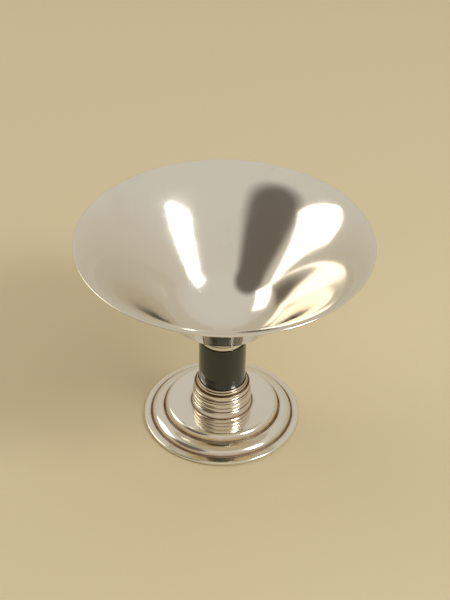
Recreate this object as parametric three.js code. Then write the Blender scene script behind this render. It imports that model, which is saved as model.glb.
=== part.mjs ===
// Footed bowl of silver plate on a black stem, in millimetres, +Z up.
// The origin is the centre of the circle that the foot stands on.
// Every piece is turned or spun, so each one is an outline of [radius, height]
// points that is swept round the Z axis. The pieces are threaded on one tie rod.

import * as THREE from 'three';

// Facets of a full turn
const WIDE_FACETS = 48;
const NARROW_FACETS = 32;
const ARC_STEPS = 5;

// Fits
const RUNNING_CLEARANCE = 0.3;
const ROD_CLEARANCE = 0.6;

// Bowl
const RIM_RADIUS = 105;
const BOWL_HEIGHT = 78;
const BOWL_WALL = 1.3;
const BELLY_RADIUS = 57.5;
const BELLY_END_ANGLE = 50;
const RIM_ANGLE = 19;
const FLARE_START_PULL = 46;
const FLARE_END_PULL = 14;
const BOWL_FLAT_RADIUS = 7;

// Foot, a spun shell: flange, half-round moulding, step and flat crown
const FOOT_RADIUS = 58.6;
const FOOT_WALL = 1.2;
const FLANGE_HEIGHT = 3;
const FLANGE_WIDTH = 5;
const MOULDING_WIDTH = 8.6;
const MOULDING_HEIGHT = 5.2;
const GROOVE_WIDTH = 1.2;
const GROOVE_DEPTH = 0.4;
const STEP_WIDTH = 4;
const STEP_HEIGHT = 5.4;
const CROWN_SAG = 0.6;
const CROWN_FLAT_RADIUS = 27;

// Neck collar, the concave ring that stands on the crown
const NECK_FOOT_RADIUS = 22.6;
const NECK_TOP_RADIUS = 21.3;
const NECK_HEIGHT = 5;
const NECK_HOLLOW = 0.7;

// Lower collars: bead radii and heights, from the bottom up
const LOWER_BEADS = [
  { radius: 21.8, height: 3.6 },
  { radius: 21.8, height: 4.2 },
  { radius: 21.4, height: 2.0 },
  { radius: 21.0, height: 4.3 },
];
const FILLET_BEADS = [
  { radius: 19.0, height: 2.2 },
  { radius: 18.4, height: 1.9 },
];
const BEAD_QUIRK = 0.9;

// Stem
const STEM_RADIUS = 17.35;
const STEM_HEIGHT = 36.4;
const STEM_EDGE = 0.4;
const SPIGOT_RADIUS = 11.7;
const SPIGOT_LENGTH = 3.7;

// Upper ferrule and the cup that the bowl sits in
const FERRULE_BEADS = [
  { radius: 16.8, height: 3.6 },
  { radius: 16.8, height: 2.6 },
];
const CUP_RADIUS = 17;
const CUP_FOOT_RADIUS = 15.9;
const CUP_HEIGHT = 2.7;
const CUP_SWELL = 0.35;

// Fixing inside
const ROD_RADIUS = 3;
const ROD_TAIL = 1.5;
const BOSS_RADIUS = 5.5;
const BOSS_HEIGHT = 6;
const BOSS_ROOF = 1.3;
const PLATE_RADIUS = 15;
const PLATE_THICKNESS = 1.5;
const WASHER_RADIUS = 6;
const WASHER_THICKNESS = 1;
const NUT_FLATS = 10;
const NUT_HEIGHT = 5;

const silver = { color: 0xd9d2c2, roughness: 0.16, metalness: 1 };
const blackGloss = { color: 0x0c110e, roughness: 0.12, metalness: 0 };
const steel = { color: 0x9a9c9e, roughness: 0.38, metalness: 1 };

const radians = THREE.MathUtils.degToRad;
const object = new THREE.Group();

// Sweeps a closed outline round Z and adds it under its name.
function turned(name, outline, facets, finish) {
  const ring = outline.map(([r, z]) => new THREE.Vector2(r, z));
  const geometry = new THREE.LatheGeometry([...ring, ring[0].clone()], facets);
  geometry.rotateX(Math.PI / 2);
  const mesh = new THREE.Mesh(geometry, new THREE.MeshStandardMaterial(finish));
  mesh.name = name;
  object.add(mesh);
  return mesh;
}

// Points of a quarter or half oval round a centre, between two angles in degrees.
function oval(r, z, width, height, from, to, steps = ARC_STEPS) {
  return Array.from({ length: steps + 1 }, (_, i) => {
    const angle = radians(from + ((to - from) * i) / steps);
    return [r + width * Math.cos(angle), z + height * Math.sin(angle)];
  });
}

// Outer side of a stack of beads, from the bottom up, with a quirk between each two.
function beadStack(beads, base) {
  const side = [];
  let z = base;
  for (const { radius, height } of beads) {
    const bulge = Math.min(BEAD_QUIRK, height / 2);
    side.push(...oval(radius - bulge, z + height / 2, bulge, height / 2, -80, 80, ARC_STEPS - 1));
    z += height;
  }
  side[0][1] = base;
  side[side.length - 1][1] = z;
  return side;
}

const stackHeight = (beads) => beads.reduce((sum, { height }) => sum + height, 0);

// Offsets an open line by a distance to its left, with mitred corners.
function offsetLine(line, distance) {
  const normals = line.slice(1).map(([r, z], i) => {
    const [dr, dz] = [r - line[i][0], z - line[i][1]];
    const length = Math.hypot(dr, dz);
    return [-dz / length, dr / length];
  });
  return line.map(([r, z], i) => {
    const before = normals[Math.max(i - 1, 0)];
    const after = normals[Math.min(i, normals.length - 1)];
    const scale = distance / (1 + before[0] * after[0] + before[1] * after[1]);
    return [r + scale * (before[0] + after[0]), z + scale * (before[1] + after[1])];
  });
}

// Heights of the joints between the pieces, from the floor up
const mouldingBase = FLANGE_HEIGHT + GROOVE_DEPTH;
const stepBase = mouldingBase + MOULDING_HEIGHT;
const stepTop = stepBase + STEP_HEIGHT;
const crownZ = stepTop - CROWN_SAG;
const neckTop = crownZ + NECK_HEIGHT;
const lowerBeadTop = neckTop + stackHeight(LOWER_BEADS);
const stemBase = lowerBeadTop + stackHeight(FILLET_BEADS);
const stemTop = stemBase + STEM_HEIGHT;
const ferruleTop = stemTop + stackHeight(FERRULE_BEADS);
const bowlSeat = ferruleTop + CUP_HEIGHT;
const crownUnderside = crownZ - FOOT_WALL;
const plateUnderside = crownUnderside - PLATE_THICKNESS;
const washerUnderside = plateUnderside - WASHER_THICKNESS;
const nutUnderside = washerUnderside - NUT_HEIGHT;
const rodBore = ROD_RADIUS + ROD_CLEARANCE;
const bossBase = bowlSeat - BOSS_HEIGHT;
const bossBore = BOSS_RADIUS + RUNNING_CLEARANCE;

// Radii of the foot, from the edge in
const flangeInner = FOOT_RADIUS - FLANGE_WIDTH;
const mouldingOuter = flangeInner - GROOVE_WIDTH;
const mouldingInner = mouldingOuter - MOULDING_WIDTH;
const stepOuter = mouldingInner - GROOVE_WIDTH;
const stepInner = stepOuter - STEP_WIDTH;

function makeFoot() {
  const edge = FLANGE_HEIGHT / 2;
  const top = [
    ...oval(FOOT_RADIUS - edge, edge, edge, edge, -90, 90),
    [flangeInner, mouldingBase],
    [mouldingOuter + GROOVE_WIDTH / 3, mouldingBase - GROOVE_DEPTH],
    ...oval(mouldingInner, mouldingBase, MOULDING_WIDTH, MOULDING_HEIGHT, 0, 90),
    [stepOuter + GROOVE_WIDTH / 3, stepBase - GROOVE_DEPTH],
    ...oval(stepInner, stepBase, STEP_WIDTH, STEP_HEIGHT, 0, 90),
    [CROWN_FLAT_RADIUS, crownZ],
    [rodBore, crownZ],
  ];
  const wall = FOOT_WALL;
  const under = [
    [rodBore, crownUnderside],
    [CROWN_FLAT_RADIUS, crownUnderside],
    ...oval(stepInner, stepBase - wall, STEP_WIDTH - wall, STEP_HEIGHT, 90, 0),
    [mouldingInner - wall / 2, stepBase - wall - GROOVE_DEPTH],
    ...oval(mouldingInner, mouldingBase, MOULDING_WIDTH - wall, MOULDING_HEIGHT - wall, 90, 0),
    [mouldingOuter - wall, 0],
  ];
  turned('foot', [...top, ...under], WIDE_FACETS, silver);
}

function makeNeckCollar() {
  const hollow = [0.25, 0.5, 0.75].map((t) => [
    THREE.MathUtils.lerp(NECK_FOOT_RADIUS, NECK_TOP_RADIUS, t) - NECK_HOLLOW * 4 * t * (1 - t),
    crownZ + NECK_HEIGHT * t,
  ]);
  const side = [[NECK_FOOT_RADIUS, crownZ], ...hollow, [NECK_TOP_RADIUS, neckTop]];
  turned('neck_collar', [...side, [rodBore, neckTop], [rodBore, crownZ]], NARROW_FACETS, silver);
}

function makeLowerCollars() {
  const wide = beadStack(LOWER_BEADS, neckTop);
  turned(
    'lower_bead_collar',
    [...wide, [rodBore, lowerBeadTop], [rodBore, neckTop]],
    NARROW_FACETS,
    silver,
  );
  const narrow = beadStack(FILLET_BEADS, lowerBeadTop);
  const spigot = [
    [SPIGOT_RADIUS, stemBase],
    [SPIGOT_RADIUS, stemBase + SPIGOT_LENGTH],
    [rodBore, stemBase + SPIGOT_LENGTH],
    [rodBore, lowerBeadTop],
  ];
  turned('lower_fillet_collar', [...narrow, ...spigot], NARROW_FACETS, silver);
}

function makeStem() {
  const counterbore = SPIGOT_RADIUS + RUNNING_CLEARANCE;
  const depth = SPIGOT_LENGTH + RUNNING_CLEARANCE;
  const outline = [
    [STEM_RADIUS - STEM_EDGE, stemBase],
    [STEM_RADIUS, stemBase + STEM_EDGE],
    [STEM_RADIUS, stemTop - STEM_EDGE],
    [STEM_RADIUS - STEM_EDGE, stemTop],
    [counterbore, stemTop],
    [counterbore, stemTop - depth],
    [rodBore, stemTop - depth],
    [rodBore, stemBase + depth],
    [counterbore, stemBase + depth],
    [counterbore, stemBase],
  ];
  turned('stem_sleeve', outline, NARROW_FACETS, blackGloss);
}

// The ferrule's bore also clears the boss, which hangs down into it from the bowl.
function makeUpperFerrule() {
  const outline = [
    ...beadStack(FERRULE_BEADS, stemTop),
    [bossBore, ferruleTop],
    [bossBore, stemTop - SPIGOT_LENGTH],
    [SPIGOT_RADIUS, stemTop - SPIGOT_LENGTH],
    [SPIGOT_RADIUS, stemTop],
  ];
  turned('upper_ferrule', outline, NARROW_FACETS, silver);
}

const bellyCentre = bowlSeat + Math.sqrt(BELLY_RADIUS ** 2 - BOWL_FLAT_RADIUS ** 2);
const bellyHeightAt = (r, radius) => bellyCentre - Math.sqrt(radius ** 2 - r ** 2);

// The cup is dished to the belly of the bowl, a running clearance below it, and
// touches it only on the flat ring round the boss.
function makeSeatCup() {
  const dish = [0, 0.5, 1].map((t) => {
    const r = THREE.MathUtils.lerp(CUP_RADIUS, BOWL_FLAT_RADIUS, t);
    return [r, bellyHeightAt(r, BELLY_RADIUS + RUNNING_CLEARANCE)];
  });
  const outline = [
    [CUP_FOOT_RADIUS, ferruleTop],
    [CUP_RADIUS, ferruleTop + CUP_HEIGHT / 2],
    [CUP_RADIUS + CUP_SWELL, ferruleTop + CUP_HEIGHT],
    ...dish,
    [BOWL_FLAT_RADIUS - RUNNING_CLEARANCE, bowlSeat],
    [bossBore, bowlSeat],
    [bossBore, ferruleTop],
  ];
  turned('bowl_seat_cup', outline, NARROW_FACETS, silver);
}

// The bowl is one line, drawn on the middle of its wall from the flat to the rim,
// with half the wall on each side of it and a rounded lip.
function makeBowl() {
  const half = BOWL_WALL / 2;
  const midRadius = BELLY_RADIUS - half;
  const flatAngle = THREE.MathUtils.radToDeg(Math.asin(BOWL_FLAT_RADIUS / BELLY_RADIUS));
  const belly = oval(
    0, bellyCentre, midRadius, midRadius,
    flatAngle - 90, BELLY_END_ANGLE - 90, ARC_STEPS + 2,
  );
  const flat = [[0, bowlSeat + half], [BOWL_FLAT_RADIUS, bowlSeat + half]];
  const start = new THREE.Vector2(...belly[belly.length - 1]);
  const end = new THREE.Vector2(RIM_RADIUS - half, bowlSeat + BOWL_HEIGHT - half);
  const along = (angle, length) =>
    new THREE.Vector2(Math.cos(radians(angle)), Math.sin(radians(angle))).multiplyScalar(length);
  const flare = new THREE.CubicBezierCurve(
    start,
    start.clone().add(along(BELLY_END_ANGLE, FLARE_START_PULL)),
    end.clone().sub(along(RIM_ANGLE, FLARE_END_PULL)),
    end,
  ).getPoints(ARC_STEPS * 2).slice(1).map(({ x, y }) => [x, y]);
  const middle = [...flat, ...belly.slice(1), ...flare];
  const outer = offsetLine(middle, -half);
  const inner = offsetLine(middle, half);
  const lip = oval(end.x, end.y, half, half, RIM_ANGLE - 90, RIM_ANGLE + 90, ARC_STEPS - 1);
  const outline = [...outer.slice(0, -1), ...lip, ...inner.slice(0, -1).reverse()];
  turned('bowl', outline, WIDE_FACETS, silver);
}

// A threaded boss is soldered under the flat of the bowl, and the rod screws into it.
function makeFixing() {
  const threadRadius = ROD_RADIUS + RUNNING_CLEARANCE;
  const boreTop = bowlSeat - BOSS_ROOF;
  turned('bowl_boss', [
    [threadRadius, bossBase],
    [BOSS_RADIUS, bossBase],
    [BOSS_RADIUS, bowlSeat],
    [0, bowlSeat],
    [0, boreTop],
    [threadRadius, boreTop],
  ], NARROW_FACETS, steel);

  const rodFoot = nutUnderside - ROD_TAIL;
  const rodHead = boreTop - RUNNING_CLEARANCE;
  const rodOutline = [[0, rodFoot], [ROD_RADIUS, rodFoot], [ROD_RADIUS, rodHead], [0, rodHead]];
  turned('tie_rod', rodOutline, NARROW_FACETS, steel);

  const washer = (name, radius, base, thickness) =>
    turned(name, [
      [threadRadius, base],
      [radius, base],
      [radius, base + thickness],
      [threadRadius, base + thickness],
    ], NARROW_FACETS, steel);
  washer('clamp_plate', PLATE_RADIUS, plateUnderside, PLATE_THICKNESS);
  washer('lock_washer', WASHER_RADIUS, washerUnderside, WASHER_THICKNESS);

  const hexagon = new THREE.Shape(Array.from({ length: 6 }, (_, i) => {
    const corner = NUT_FLATS / Math.sqrt(3);
    const angle = (Math.PI / 3) * i;
    return new THREE.Vector2(corner * Math.cos(angle), corner * Math.sin(angle));
  }));
  hexagon.holes.push(new THREE.Path().absarc(0, 0, threadRadius, 0, 2 * Math.PI, true));
  const nut = new THREE.Mesh(
    new THREE.ExtrudeGeometry(hexagon, {
      depth: NUT_HEIGHT,
      bevelEnabled: false,
      curveSegments: NARROW_FACETS / 2,
    }),
    new THREE.MeshStandardMaterial(steel),
  );
  nut.name = 'hex_nut';
  nut.position.z = nutUnderside;
  object.add(nut);
}

makeFoot();
makeNeckCollar();
makeLowerCollars();
makeStem();
makeUpperFerrule();
makeSeatCup();
makeBowl();
makeFixing();

export default object;
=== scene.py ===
# %% [markdown]
# This lesson dresses a silver-plated bowl on a black stem. Every visible piece is round,
# as work from a lathe or a spinning chuck is, so every one is an outline swept round the
# upright axis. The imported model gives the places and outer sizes, and the outlines here
# are drawn finer, because polished metal shows every facet.

# %% Load the frame
import math

import bmesh
import bpy
from mathutils import Matrix, Vector


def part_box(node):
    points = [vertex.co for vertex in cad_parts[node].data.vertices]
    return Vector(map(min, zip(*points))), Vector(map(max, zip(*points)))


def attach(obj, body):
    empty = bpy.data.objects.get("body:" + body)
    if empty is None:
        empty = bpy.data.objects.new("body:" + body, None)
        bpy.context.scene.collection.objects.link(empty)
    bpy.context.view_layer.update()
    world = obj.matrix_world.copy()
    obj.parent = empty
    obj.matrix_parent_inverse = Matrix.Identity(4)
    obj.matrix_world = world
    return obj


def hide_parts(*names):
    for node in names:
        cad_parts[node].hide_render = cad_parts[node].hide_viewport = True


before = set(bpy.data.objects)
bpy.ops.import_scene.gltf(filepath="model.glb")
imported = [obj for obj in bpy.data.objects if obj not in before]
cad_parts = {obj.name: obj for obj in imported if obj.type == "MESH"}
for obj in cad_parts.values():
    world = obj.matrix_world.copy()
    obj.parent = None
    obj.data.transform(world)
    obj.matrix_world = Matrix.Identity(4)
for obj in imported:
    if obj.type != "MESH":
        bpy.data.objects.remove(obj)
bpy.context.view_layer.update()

MM = 0.001
TURN_STEPS = 192
AXIS_TOLERANCE = 1e-7
MERGE_DISTANCE = 1e-6
SHARP_ANGLE = 30


def low(node):
    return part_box(node)[0][2]


def high(node):
    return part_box(node)[1][2]


def radius(node):
    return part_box(node)[1][0]


print("bowl rim radius", round(radius("bowl") / MM, 1), "mm")
print("bowl top", round(high("bowl") / MM, 1), "mm")

# %% [markdown]
# A turned piece needs three things: an outline of radius and height, a full spin of it,
# and clean normals. An outline that starts on the axis leaves a pole of doubled points,
# so the doubles are merged before the normals are worked out. Edges sharper than a
# given angle are marked, so that crisp corners stay crisp under smooth shading.

# %% Outline helpers
def oval(r, z, width, height, start, end, steps=12):
    """Points of an oval arc round (r, z), from one angle to another in degrees."""
    points = []
    for i in range(steps + 1):
        angle = math.radians(start + (end - start) * i / steps)
        points.append((r + width * math.cos(angle), z + height * math.sin(angle)))
    return points


def bezier(a, b, c, d, steps=32):
    """Points of a cubic curve, without its first one."""
    points = []
    for i in range(1, steps + 1):
        t = i / steps
        weights = ((1 - t) ** 3, 3 * (1 - t) ** 2 * t, 3 * (1 - t) * t * t, t ** 3)
        weighted = list(zip(weights, (a, b, c, d)))
        points.append(tuple(sum(w * p[k] for w, p in weighted) for k in (0, 1)))
    return points


def offset_line(line, distance):
    """The line moved to its left by a distance, with mitred corners."""
    normals = []
    for (r0, z0), (r1, z1) in zip(line, line[1:]):
        length = math.hypot(r1 - r0, z1 - z0)
        normals.append((-(z1 - z0) / length, (r1 - r0) / length))
    moved = []
    for i, (r, z) in enumerate(line):
        before = normals[max(i - 1, 0)]
        after = normals[min(i, len(normals) - 1)]
        scale = distance / (1 + before[0] * after[0] + before[1] * after[1])
        moved.append((r + scale * (before[0] + after[0]), z + scale * (before[1] + after[1])))
    return moved


# %% Spin an outline into a piece
def turned(name, outline, node, sharp=SHARP_ANGLE):
    """A closed outline spun round Z, standing for one node of the frame."""
    bm = bmesh.new()
    ring = [bm.verts.new((r, 0, z)) for r, z in outline]
    edges = []
    for a, b in zip(ring, ring[1:] + ring[:1]):
        on_axis = a.co.x < AXIS_TOLERANCE and b.co.x < AXIS_TOLERANCE
        if not on_axis:
            edges.append(bm.edges.new((a, b)))
    bmesh.ops.spin(
        bm, geom=ring + edges, cent=(0, 0, 0), axis=(0, 0, 1), angle=2 * math.pi,
        steps=TURN_STEPS, use_merge=True,
    )
    bmesh.ops.remove_doubles(bm, verts=bm.verts, dist=MERGE_DISTANCE)
    bmesh.ops.recalc_face_normals(bm, faces=bm.faces)
    mesh = bpy.data.meshes.new(name)
    bm.to_mesh(mesh)
    bm.free()
    mesh.shade_smooth()
    mesh.set_sharp_from_angle(angle=math.radians(sharp))
    piece = bpy.data.objects.new(name, mesh)
    bpy.context.scene.collection.objects.link(piece)
    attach(piece, "root")
    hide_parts(node)
    print(name, len(mesh.polygons), "faces")
    return piece


# %% [markdown]
# The bowl is one sheet of even thickness. Its middle line is a small flat, where the
# boss is soldered, then a round belly, then a flare that turns out towards the rim.
# Drawing that one line and moving it half the wall to each side keeps the wall even,
# as spinning does, and a half circle closes the lip.

# %% Bowl
BOWL_WALL = 1.3 * MM
BELLY_RADIUS = 57.5 * MM
BOWL_FLAT = 7 * MM
BELLY_END = 50
RIM_ANGLE = 19
FLARE_START_PULL = 46 * MM
FLARE_END_PULL = 14 * MM
RIM_RADIUS = 105 * MM
BOWL_SHARP_ANGLE = 60

half_wall = BOWL_WALL / 2
bowl_base = low("bowl")
bowl_top = high("bowl")
belly_centre = bowl_base + math.sqrt(BELLY_RADIUS ** 2 - BOWL_FLAT ** 2)
flat_angle = math.degrees(math.asin(BOWL_FLAT / BELLY_RADIUS))
belly = oval(
    0, belly_centre, BELLY_RADIUS - half_wall, BELLY_RADIUS - half_wall,
    flat_angle - 90, BELLY_END - 90, steps=24,
)


def slope(angle, length):
    return (length * math.cos(math.radians(angle)), length * math.sin(math.radians(angle)))


belly_end = belly[-1]
rim_middle = (RIM_RADIUS - half_wall, bowl_top - half_wall)
leave = slope(BELLY_END, FLARE_START_PULL)
arrive = slope(RIM_ANGLE, FLARE_END_PULL)
flare = bezier(
    belly_end,
    (belly_end[0] + leave[0], belly_end[1] + leave[1]),
    (rim_middle[0] - arrive[0], rim_middle[1] - arrive[1]),
    rim_middle,
)
middle_line = [(0, bowl_base + half_wall), *belly, *flare]
outer_line = offset_line(middle_line, -half_wall)
inner_line = offset_line(middle_line, half_wall)
lip = oval(*rim_middle, half_wall, half_wall, RIM_ANGLE - 90, RIM_ANGLE + 90, steps=8)
bowl_outline = [*outer_line[:-1], *lip, *reversed(inner_line[:-1])]
bowl = turned("spun_bowl", bowl_outline, "bowl", sharp=BOWL_SHARP_ANGLE)

# %% [markdown]
# The foot is a thin shell too. From the edge in it has a rounded flange, a fine groove,
# a broad quarter-round moulding, a second groove, a rounded step and a crown that is
# slightly sunk. The grooves matter, because that is where polish never reaches.

# %% Foot
FOOT_WALL = 1.2 * MM
FLANGE_WIDTH = 5 * MM
FLANGE_HEIGHT = 3 * MM
GROOVE_WIDTH = 1.2 * MM
GROOVE_DEPTH = 0.4 * MM
MOULDING_WIDTH = 8.6 * MM
MOULDING_HEIGHT = 5.2 * MM
STEP_WIDTH = 4 * MM
CROWN_SAG = 0.6 * MM
CROWN_FLAT = 27 * MM
ROD_BORE = 3.6 * MM

foot_radius = radius("foot")
foot_top = high("foot")
crown = foot_top - CROWN_SAG
flange_inner = foot_radius - FLANGE_WIDTH
moulding_outer = flange_inner - GROOVE_WIDTH
moulding_inner = moulding_outer - MOULDING_WIDTH
step_outer = moulding_inner - GROOVE_WIDTH
step_inner = step_outer - STEP_WIDTH
moulding_base = FLANGE_HEIGHT + GROOVE_DEPTH
step_base = moulding_base + MOULDING_HEIGHT
step_height = foot_top - step_base
flange_edge = FLANGE_HEIGHT / 2
foot_upper = [
    *oval(foot_radius - flange_edge, flange_edge, flange_edge, flange_edge, -90, 90),
    (flange_inner, moulding_base),
    (flange_inner - GROOVE_WIDTH / 3, moulding_base - GROOVE_DEPTH),
    (moulding_outer + GROOVE_WIDTH / 4, moulding_base - GROOVE_DEPTH),
    *oval(moulding_inner, moulding_base, MOULDING_WIDTH, MOULDING_HEIGHT, 0, 90, steps=20),
    (moulding_inner - GROOVE_WIDTH / 3, step_base - GROOVE_DEPTH),
    (step_outer + GROOVE_WIDTH / 4, step_base - GROOVE_DEPTH),
    *oval(step_inner, step_base, STEP_WIDTH, step_height, 0, 90, steps=16),
    (CROWN_FLAT, crown),
    (ROD_BORE, crown),
]
foot_under = [
    (ROD_BORE, crown - FOOT_WALL),
    (CROWN_FLAT, crown - FOOT_WALL),
    *oval(step_inner, step_base - FOOT_WALL, STEP_WIDTH - FOOT_WALL, step_height, 90, 0),
    (moulding_inner - FOOT_WALL / 2, step_base - FOOT_WALL - GROOVE_DEPTH),
    *oval(
        moulding_inner, moulding_base, MOULDING_WIDTH - FOOT_WALL,
        MOULDING_HEIGHT - FOOT_WALL, 90, 0,
    ),
    (moulding_outer - FOOT_WALL, 0),
]
foot = turned("spun_foot", foot_upper + foot_under, "foot")

# %% [markdown]
# The collars are rows of beads with a sharp quirk between each two. One function draws
# any such row from its beads' radii and heights, which are estimates from the photograph
# and add up to the space between the neighbours. The first and last points are set level
# with the ends of the row, so that it meets them face to face.

# %% Bead rows
BEAD_BULGE = 0.9 * MM
BEAD_ARC = 84


def bead_row(base, beads):
    """Outer side of a row of (radius, height) beads, from a base upwards."""
    side = []
    z = base
    for bead_radius, bead_height in beads:
        bulge = min(BEAD_BULGE, bead_height / 2)
        middle = z + bead_height / 2
        side += oval(
            bead_radius - bulge, middle, bulge, bead_height / 2, -BEAD_ARC, BEAD_ARC, steps=14,
        )
        z += bead_height
    side[0] = (side[0][0], base)
    side[-1] = (side[-1][0], z)
    return side


def ring_of(side, bore):
    """Closes an outer side with a plain bore."""
    return [*side, (bore, side[-1][1]), (bore, side[0][1])]


# %% Collars below the stem
LOWER_BEADS = [
    (21.8 * MM, 3.6 * MM),
    (21.8 * MM, 4.2 * MM),
    (21.4 * MM, 2.0 * MM),
    (21.0 * MM, 4.3 * MM),
]
FILLET_BEADS = [(19.0 * MM, 2.2 * MM), (18.4 * MM, 1.9 * MM)]
NECK_TOP_RADIUS = 21.3 * MM
NECK_HOLLOW = 0.7 * MM
NECK_STEPS = 16
SPIGOT_RADIUS = 11.7 * MM

neck_low = low("neck_collar")
neck_high = high("neck_collar")
neck_wide = radius("neck_collar")
neck_side = []
for i in range(NECK_STEPS + 1):
    t = i / NECK_STEPS
    straight = neck_wide + (NECK_TOP_RADIUS - neck_wide) * t
    hollow = NECK_HOLLOW * 4 * t * (1 - t)
    neck_side.append((straight - hollow, neck_low + (neck_high - neck_low) * t))
neck = turned("neck_ring", ring_of(neck_side, ROD_BORE), "neck_collar")

lower_side = bead_row(low("lower_bead_collar"), LOWER_BEADS)
lower_beads = turned(
    "lower_beads", ring_of(lower_side, ROD_BORE), "lower_bead_collar",
)

fillet_side = bead_row(low("lower_fillet_collar"), FILLET_BEADS)
fillet_top = high("lower_fillet_collar")
fillet_outline = [
    *fillet_side,
    (SPIGOT_RADIUS, fillet_side[-1][1]),
    (SPIGOT_RADIUS, fillet_top),
    (ROD_BORE, fillet_top),
    (ROD_BORE, fillet_side[0][1]),
]
fillet_beads = turned("fillet_beads", fillet_outline, "lower_fillet_collar")

# %% Ferrule and cup above the stem
FERRULE_BEADS = [(16.8 * MM, 3.6 * MM), (16.8 * MM, 2.6 * MM)]
BOSS_BORE = 5.8 * MM
CUP_FOOT_RADIUS = 15.9 * MM
CUP_RADIUS = 17 * MM
CUP_GAP = 0.3 * MM
DISH_STEPS = 12

stem_top = high("stem_sleeve")
ferrule_side = bead_row(stem_top, FERRULE_BEADS)
ferrule_outline = [
    *ferrule_side,
    (BOSS_BORE, ferrule_side[-1][1]),
    (BOSS_BORE, low("upper_ferrule")),
    (SPIGOT_RADIUS, low("upper_ferrule")),
    (SPIGOT_RADIUS, ferrule_side[0][1]),
]
ferrule = turned("ferrule_beads", ferrule_outline, "upper_ferrule")

cup_low = low("bowl_seat_cup")
cup_flare = radius("bowl_seat_cup") - CUP_FOOT_RADIUS
dish = []
for i in range(DISH_STEPS + 1):
    r = CUP_RADIUS + (BOWL_FLAT - CUP_RADIUS) * i / DISH_STEPS
    dish.append((r, belly_centre - math.sqrt((BELLY_RADIUS + CUP_GAP) ** 2 - r * r)))
cup_outline = [
    *oval(CUP_FOOT_RADIUS, bowl_base, cup_flare, bowl_base - cup_low, -90, 0),
    *dish,
    (BOWL_FLAT - CUP_GAP, bowl_base),
    (BOSS_BORE, bowl_base),
    (BOSS_BORE, cup_low),
]
cup = turned("seat_cup", cup_outline, "bowl_seat_cup")

# %% [markdown]
# The stem is a plain black sleeve, clamped between the collars. It has a small rounded
# edge at each end and a wider bore there for the spigots of its neighbours.

# %% Stem
STEM_EDGE = 0.4 * MM
COUNTERBORE = 12 * MM
COUNTERBORE_DEPTH = 4 * MM

stem_low = low("stem_sleeve")
stem_radius = radius("stem_sleeve")
stem_outline = [
    *oval(stem_radius - STEM_EDGE, stem_low + STEM_EDGE, STEM_EDGE, STEM_EDGE, -90, 0, steps=6),
    *oval(stem_radius - STEM_EDGE, stem_top - STEM_EDGE, STEM_EDGE, STEM_EDGE, 0, 90, steps=6),
    (COUNTERBORE, stem_top),
    (COUNTERBORE, stem_top - COUNTERBORE_DEPTH),
    (ROD_BORE, stem_top - COUNTERBORE_DEPTH),
    (ROD_BORE, stem_low + COUNTERBORE_DEPTH),
    (COUNTERBORE, stem_low + COUNTERBORE_DEPTH),
    (COUNTERBORE, stem_low),
]
stem = turned("black_stem", stem_outline, "stem_sleeve")

# %% [markdown]
# Materials are built from nodes, and long chains of Math nodes are hard to read. This
# small class wraps a socket, so that an expression such as 1 - mask adds its own nodes.

# %% Shader expressions
class Val:
    """A socket of numbers that adds Math nodes when it is used in an expression."""

    def __init__(self, nodes, socket):
        self.nodes, self.socket = nodes, socket

    def math(self, operation, *values, clamp=False):
        node = self.nodes.add("ShaderNodeMath", {"operation": operation, "use_clamp": clamp})
        for i, value in enumerate((self, *values)):
            self.nodes.feed(node.inputs[i], value)
        return Val(self.nodes, node.outputs[0])

    def __add__(self, other):
        return self.math("ADD", other)

    def __radd__(self, other):
        return self.math("ADD", other)

    def __sub__(self, other):
        return self.math("SUBTRACT", other)

    def __rsub__(self, other):
        return (self * -1) + other

    def __mul__(self, other):
        return self.math("MULTIPLY", other)

    def __rmul__(self, other):
        return self.math("MULTIPLY", other)

    def __truediv__(self, other):
        return self.math("DIVIDE", other)

    def __pow__(self, other):
        return self.math("POWER", other)

    def clamp(self):
        return self.math("ADD", 0, clamp=True)

    def band(self, centre, width):
        """1 at a value, falling smoothly to 0 a width away."""
        distance = (self - centre).math("ABSOLUTE")
        return (1 - distance / width).clamp() ** 1.5


class Nodes:
    """A material's node tree, with one way to add any node."""

    def __init__(self, name):
        self.material = bpy.data.materials.new(name)
        self.material.use_nodes = True
        self.tree = self.material.node_tree
        self.shader = self.tree.nodes["Principled BSDF"]

    def add(self, kind, settings=None, **sockets):
        node = self.tree.nodes.new(kind)
        for key, value in (settings or {}).items():
            setattr(node, key, value)
        for key, value in sockets.items():
            self.feed(node.inputs[key.replace("_", " ")], value)
        return node

    def feed(self, socket, value):
        if isinstance(value, Val):
            self.tree.links.new(value.socket, socket)
        elif isinstance(value, bpy.types.NodeSocket):
            self.tree.links.new(value, socket)
        else:
            socket.default_value = value

    def place(self):
        """Object coordinates, then x, y, z and the distance from the axis, in metres."""
        coords = self.add("ShaderNodeTexCoord").outputs["Object"]
        split = self.add("ShaderNodeSeparateXYZ", Vector=coords)
        x, y, z = (Val(self, split.outputs[i]) for i in range(3))
        return coords, x, y, z, (x * x + y * y).math("SQRT")

    def vector(self, x, y, z):
        return self.add("ShaderNodeCombineXYZ", X=x, Y=y, Z=z).outputs[0]

    def noise(self, vector, scale, detail=2.0, rough=0.5):
        node = self.add(
            "ShaderNodeTexNoise", Vector=vector, Scale=scale, Detail=detail, Roughness=rough,
        )
        return Val(self, node.outputs["Fac"])

    def mix(self, factor, a, b):
        node = self.add("ShaderNodeMix", {"data_type": "RGBA"})
        for index, value in ((0, factor), (6, a), (7, b)):
            self.feed(node.inputs[index], value)
        return node.outputs[2]

    def bump(self, height, distance):
        node = self.add("ShaderNodeBump", Height=height, Distance=distance)
        self.tree.links.new(node.outputs[0], self.shader.inputs["Normal"])


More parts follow.
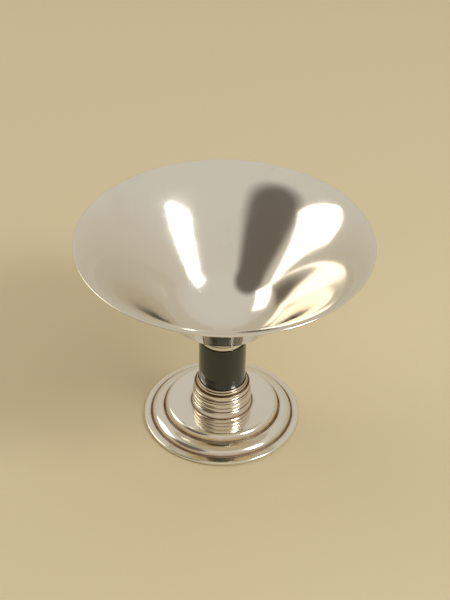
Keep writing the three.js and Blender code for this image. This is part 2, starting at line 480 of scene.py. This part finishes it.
# %% [markdown]
# Old plate is a mirror with a history. It is warm rather than blue. Polishing in
# circles leaves hair-fine rings, a cloth leaves faint scratches that all run one way, use
# leaves small pits, and brown tarnish stays in each groove with an orange line where the
# silver has worn through beside it. The rings are noise on a vector that hardly changes round the
# axis and changes fast across it, so they have no seam.

# %% Silver plate
SILVER = (0.84, 0.79, 0.70, 1)
WORN_EDGE = (0.62, 0.36, 0.16, 1)
TARNISH = (0.13, 0.075, 0.035, 1)
CLOUD = (0.70, 0.63, 0.50, 1)
RING_SCALE = 900
FINE_RING_SCALE = 4200
CLOUD_SCALE = 28
PIT_SCALE = 210
PIT_SIZE = 0.085
PATCH_SCALE = 120
EDGE_SPREAD = 2.3
POLISHED_ROUGHNESS = 0.075
RING_BUMP = 0.006 * MM


def silver_plate(name, radius_grooves=(), height_grooves=()):
    """Silver with tarnish at (radius, width) and (height, width) grooves."""
    nodes = Nodes(name)
    coords, x, y, z, r = nodes.place()
    around = nodes.vector(x / r * 0.6, y / r * 0.6, (r + z) * RING_SCALE)
    rings = nodes.noise(around, 1.0, 4.0, 0.7)
    fine_around = nodes.vector(x / r * 2, y / r * 2, (r - z) * FINE_RING_SCALE)
    fine_rings = nodes.noise(fine_around, 1.0, 2.0)
    clouds = nodes.noise(coords, CLOUD_SCALE, 4.0, 0.6)
    cloth = nodes.noise(nodes.vector(x * 260 + y * 90, y * 2600, z * 900), 1.0, 3.0, 0.6)
    scratches = ((cloth - 0.66) * 9).clamp()
    cells = nodes.add("ShaderNodeTexVoronoi", {"feature": "F1"}, Vector=coords, Scale=PIT_SCALE)
    pits = ((PIT_SIZE - Val(nodes, cells.outputs["Distance"])) * 22).clamp()
    rare = ((nodes.noise(coords, 55) - 0.58) * 12).clamp()
    pits = pits * rare

    def bands(spread):
        """All the grooves as one mask, each as wide as its tarnish times a spread."""
        return sum(
            value.band(centre, width * spread)
            for value, grooves in ((r, radius_grooves), (z, height_grooves))
            for centre, width in grooves
        )

    patchy = (nodes.noise(coords, PATCH_SCALE, 3.0) * 1.6 - 0.15).clamp()
    tarnish = ((pits * 0.7 + bands(1)) * (patchy * 0.5 + 0.62)).clamp()
    edge = (patchy * bands(EDGE_SPREAD) * 0.75).clamp()

    base = nodes.mix(((clouds - 0.5) * 1.6).clamp() * 0.55, SILVER, CLOUD)
    base = nodes.mix(edge, base, WORN_EDGE)
    base = nodes.mix(tarnish, base, TARNISH)
    nodes.feed(nodes.shader.inputs["Base Color"], base)
    nodes.shader.inputs["Metallic"].default_value = 1.0
    rough = POLISHED_ROUGHNESS + (clouds - 0.45).clamp() * 0.22 + scratches * 0.10 + rings * 0.05
    nodes.feed(nodes.shader.inputs["Roughness"], (rough + tarnish * 0.32 + edge * 0.1).clamp())
    height = rings + fine_rings * 0.5 - scratches * 0.7 - pits * 6 - tarnish * 2
    nodes.bump(height, RING_BUMP)
    print(name, "grooves:", len(radius_grooves) + len(height_grooves))
    return nodes.material


# %% [markdown]
# Each silver piece gets its own copy of the finish, because its tarnish sits at its own
# grooves. The foot's grooves are circles, given by radius, and those of the collars are
# given by height.

# %% Tarnish at each joint
GROOVE_TARNISH = 1.3 * MM
NECK_TARNISH = 1.0 * MM
NECK_FOOT_OFFSET = 0.2 * MM
NECK_FOOT_TARNISH = 1.2 * MM
QUIRK_TARNISH = 0.5 * MM
JOINT_TARNISH = 0.6 * MM
CUP_LIP_TARNISH = 0.8 * MM

bowl.data.materials.append(silver_plate("bowl_silver"))
foot_grooves = [
    (flange_inner - GROOVE_WIDTH / 2, GROOVE_TARNISH),
    (moulding_inner - GROOVE_WIDTH / 2, GROOVE_TARNISH),
    (neck_wide + NECK_FOOT_OFFSET, NECK_FOOT_TARNISH),
]
foot.data.materials.append(silver_plate("foot_silver", radius_grooves=foot_grooves))


def quirks(base, beads):
    """Heights of the joints between beads, each with the width of its tarnish."""
    z = base
    heights = [(z, QUIRK_TARNISH)]
    for _, bead_height in beads:
        z += bead_height
        heights.append((z, QUIRK_TARNISH))
    return heights


neck_joints = [(neck_low, NECK_TARNISH), (neck_high, QUIRK_TARNISH)]
neck.data.materials.append(silver_plate("neck_silver", height_grooves=neck_joints))
lower_joints = quirks(low("lower_bead_collar"), LOWER_BEADS)
lower_beads.data.materials.append(silver_plate("lower_bead_silver", height_grooves=lower_joints))
fillet_joints = quirks(low("lower_fillet_collar"), FILLET_BEADS)
fillet_beads.data.materials.append(silver_plate("fillet_silver", height_grooves=fillet_joints))
ferrule_joints = [
    (stem_top, QUIRK_TARNISH),
    (stem_top + FERRULE_BEADS[0][1], JOINT_TARNISH),
    (cup_low, QUIRK_TARNISH),
]
ferrule.data.materials.append(silver_plate("ferrule_silver", height_grooves=ferrule_joints))
cup_joints = [(cup_low, JOINT_TARNISH), (bowl_base, CUP_LIP_TARNISH)]
cup.data.materials.append(silver_plate("cup_silver", height_grooves=cup_joints))

# %% [markdown]
# The stem is a deep greenish black under a hard gloss. Gloss shows handling, so the
# roughness has faint smears, hair lines run round it, and a little dust sits low down.

# %% Black gloss
BLACK = (0.008, 0.013, 0.010, 1)
DUST = (0.045, 0.045, 0.038, 1)
SMEAR_SCALE = 60
DUST_SCALE = 700
DUST_HEIGHT = 6 * MM
GLOSS_BUMP = 0.01 * MM


def black_gloss(name):
    nodes = Nodes(name)
    coords, x, y, z, _ = nodes.place()
    smears = nodes.noise(coords, SMEAR_SCALE, 4.0, 0.6)
    hairs = nodes.noise(nodes.vector(x * 300, y * 300, z * 5200), 1.0, 3.0, 0.7)
    hair_lines = ((hairs - 0.64) * 8).clamp()
    near_base = (1 - (z - stem_low) / DUST_HEIGHT).clamp()
    specks = (nodes.noise(coords, DUST_SCALE, 3.0) * 1.7 - 0.75).clamp()
    dust = specks * (near_base * 0.6 + 0.1)
    nodes.feed(nodes.shader.inputs["Base Color"], nodes.mix(dust, BLACK, DUST))
    nodes.feed(
        nodes.shader.inputs["Roughness"],
        (0.06 + (smears - 0.4).clamp() * 0.35 + hair_lines * 0.12 + dust * 0.4).clamp(),
    )
    nodes.shader.inputs["Coat Weight"].default_value = 0.5
    nodes.shader.inputs["Coat Roughness"].default_value = 0.05
    nodes.bump(smears * 2 - hair_lines + dust, GLOSS_BUMP)
    return nodes.material


stem.data.materials.append(black_gloss("stem_black"))

# %% [markdown]
# The boss, rod, nut and washers are plain steel. The boss is hidden and the others show
# only from below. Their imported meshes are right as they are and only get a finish.

# %% Steel fixings
STEEL = (0.46, 0.46, 0.45, 1)
STEEL_DULL = (0.24, 0.21, 0.17, 1)
TOOL_MARK_BUMP = 0.02 * MM
FIXINGS = ("bowl_boss", "tie_rod", "clamp_plate", "lock_washer", "hex_nut")


def turned_steel(name):
    nodes = Nodes(name)
    coords, x, y, z, r = nodes.place()
    marks = nodes.noise(nodes.vector(x * 40, y * 40, (r + z) * 6000), 1.0, 3.0)
    stains = (nodes.noise(coords, 160, 4.0) * 2 - 0.8).clamp()
    nodes.feed(nodes.shader.inputs["Base Color"], nodes.mix(stains, STEEL, STEEL_DULL))
    nodes.shader.inputs["Metallic"].default_value = 1.0
    nodes.feed(nodes.shader.inputs["Roughness"], (0.28 + marks * 0.2 + stains * 0.25).clamp())
    nodes.bump(marks, TOOL_MARK_BUMP)
    return nodes.material


steel = turned_steel("fixing_steel")
for node_name in FIXINGS:
    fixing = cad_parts[node_name]
    if not fixing.material_slots:
        fixing.data.materials.append(steel)
    for material_slot in fixing.material_slots:
        material_slot.material = steel
print("steel on", len(FIXINGS), "fixings")

# %% [markdown]
# The floor is plain and pale. The object stands on it, and it keeps the shadow.

# %% Floor
FLOOR_COLOUR = (0.72, 0.61, 0.39, 1)
FLOOR_ROUGHNESS = 0.55
FLOOR_SIZE = 6

bm = bmesh.new()
bmesh.ops.create_grid(bm, x_segments=1, y_segments=1, size=FLOOR_SIZE / 2)
floor_mesh = bpy.data.meshes.new("floor")
bm.to_mesh(floor_mesh)
bm.free()
floor = bpy.data.objects.new("floor", floor_mesh)
bpy.context.scene.collection.objects.link(floor)
floor_nodes = Nodes("floor_plain")
floor_nodes.shader.inputs["Base Color"].default_value = FLOOR_COLOUR
floor_nodes.shader.inputs["Roughness"].default_value = FLOOR_ROUGHNESS
floor.data.materials.append(floor_nodes.material)

# %% [markdown]
# Polished silver looks like what it faces, so the light is also the picture in the
# bowl. A soft lamp stands to the right in front, a wide dim one fills from the left, and
# the world is pale with a darker part to the left of the camera.

# %% Lamps
LAMP_AIM = Vector((0, 0, 0.1))


def bearing(azimuth, elevation):
    """The way to a place in degrees. Azimuth 0 is behind the bowl, 90 to its right."""
    turn, lift = math.radians(azimuth), math.radians(elevation)
    level = math.cos(lift)
    return Vector((math.sin(turn) * level, math.cos(turn) * level, math.sin(lift)))


def lamp(name, azimuth, elevation, distance, size, height, watts, colour):
    """A soft rectangular lamp aimed at the bowl."""
    away = bearing(azimuth, elevation)
    data = bpy.data.lights.new(name, "AREA")
    data.shape = "RECTANGLE"
    data.size, data.size_y = size, height
    data.energy, data.color = watts, colour
    light = bpy.data.objects.new(name, data)
    light.location = LAMP_AIM + away * distance
    light.rotation_euler = away.to_track_quat("Z", "Y").to_euler()
    bpy.context.scene.collection.objects.link(light)


lamp(
    "window", azimuth=119, elevation=43, distance=1.6,
    size=0.42, height=0.55, watts=9.0, colour=(0.93, 0.97, 1.0),
)
lamp(
    "fill", azimuth=-70, elevation=35, distance=2.2,
    size=1.2, height=1.0, watts=6.0, colour=(1.0, 0.95, 0.86),
)

# %% World
ROOM = (0.80, 0.73, 0.60, 1)
CEILING = (0.92, 0.89, 0.82, 1)
DARK_SIDE = (0.10, 0.075, 0.05, 1)
BACKDROP = (0.80, 0.72, 0.54, 1)
DARK_AZIMUTH = -122
DARK_ELEVATION = 44
DARK_START = 0.90
DARK_DEPTH = 0.85
WORLD_STRENGTH = 0.72

world = bpy.data.worlds.new("studio")
world.use_nodes = True
bpy.context.scene.world = world


class WorldNodes(Nodes):
    """The same helper on the world's node tree."""

    def __init__(self, target):
        self.tree = target.node_tree
        self.shader = self.tree.nodes["Background"]


room = WorldNodes(world)
direction = room.add("ShaderNodeTexCoord").outputs["Generated"]
split = room.add("ShaderNodeSeparateXYZ", Vector=direction)
up = Val(room, split.outputs[2])
facing = room.add("ShaderNodeVectorMath", {"operation": "DOT_PRODUCT"})
room.feed(facing.inputs[0], direction)
room.feed(facing.inputs[1], bearing(DARK_AZIMUTH, DARK_ELEVATION))
dark = ((Val(room, facing.outputs["Value"]) - DARK_START) * 18).clamp()
sky = room.mix(((up - 0.2) * 1.6).clamp(), ROOM, CEILING)
sky = room.mix(dark * DARK_DEPTH, sky, DARK_SIDE)
path = room.add("ShaderNodeLightPath")
seen = Val(room, path.outputs["Is Camera Ray"])
sky = room.mix(seen, sky, BACKDROP)
room.feed(room.shader.inputs["Color"], sky)
room.shader.inputs["Strength"].default_value = WORLD_STRENGTH

# %% [markdown]
# The camera stands where the photograph's did. Its distance, height and small tilt were
# worked out from the ellipses of the rim and the foot, and the lens is given for a
# picture 600 pixels high, so it is the same at any render size of that shape.

# %% Camera
CAMERA_DISTANCE = 1.0921
CAMERA_ELEVATION = math.radians(42.195)
CAMERA_PITCH = math.radians(37.721)
CAMERA_ROLL = math.radians(1.009)
CAMERA_YAW = math.radians(0.081)
SENSOR_HEIGHT = 36
FOCAL_PIXELS = 1433.7
PICTURE_HEIGHT = 600

place = CAMERA_DISTANCE * Vector((0, -math.cos(CAMERA_ELEVATION), math.sin(CAMERA_ELEVATION)))
forward = Vector((
    math.sin(CAMERA_YAW) * math.cos(CAMERA_PITCH),
    math.cos(CAMERA_YAW) * math.cos(CAMERA_PITCH),
    -math.sin(CAMERA_PITCH),
))
level_right = forward.cross(Vector((0, 0, 1))).normalized()
level_up = level_right.cross(forward)
right = math.cos(CAMERA_ROLL) * level_right + math.sin(CAMERA_ROLL) * level_up
top = -math.sin(CAMERA_ROLL) * level_right + math.cos(CAMERA_ROLL) * level_up

camera_data = bpy.data.cameras.new("camera")
camera_data.sensor_fit = "VERTICAL"
camera_data.sensor_height = SENSOR_HEIGHT
camera_data.lens = FOCAL_PIXELS * SENSOR_HEIGHT / PICTURE_HEIGHT
camera = bpy.data.objects.new("camera", camera_data)
facing_in = Matrix((right, top, -forward)).transposed().to_4x4()
camera.matrix_world = Matrix.Translation(place) @ facing_in
bpy.context.scene.collection.objects.link(camera)
bpy.context.scene.camera = camera
bpy.context.scene.view_settings.view_transform = "Standard"
print("lens", round(camera_data.lens, 1), "mm")
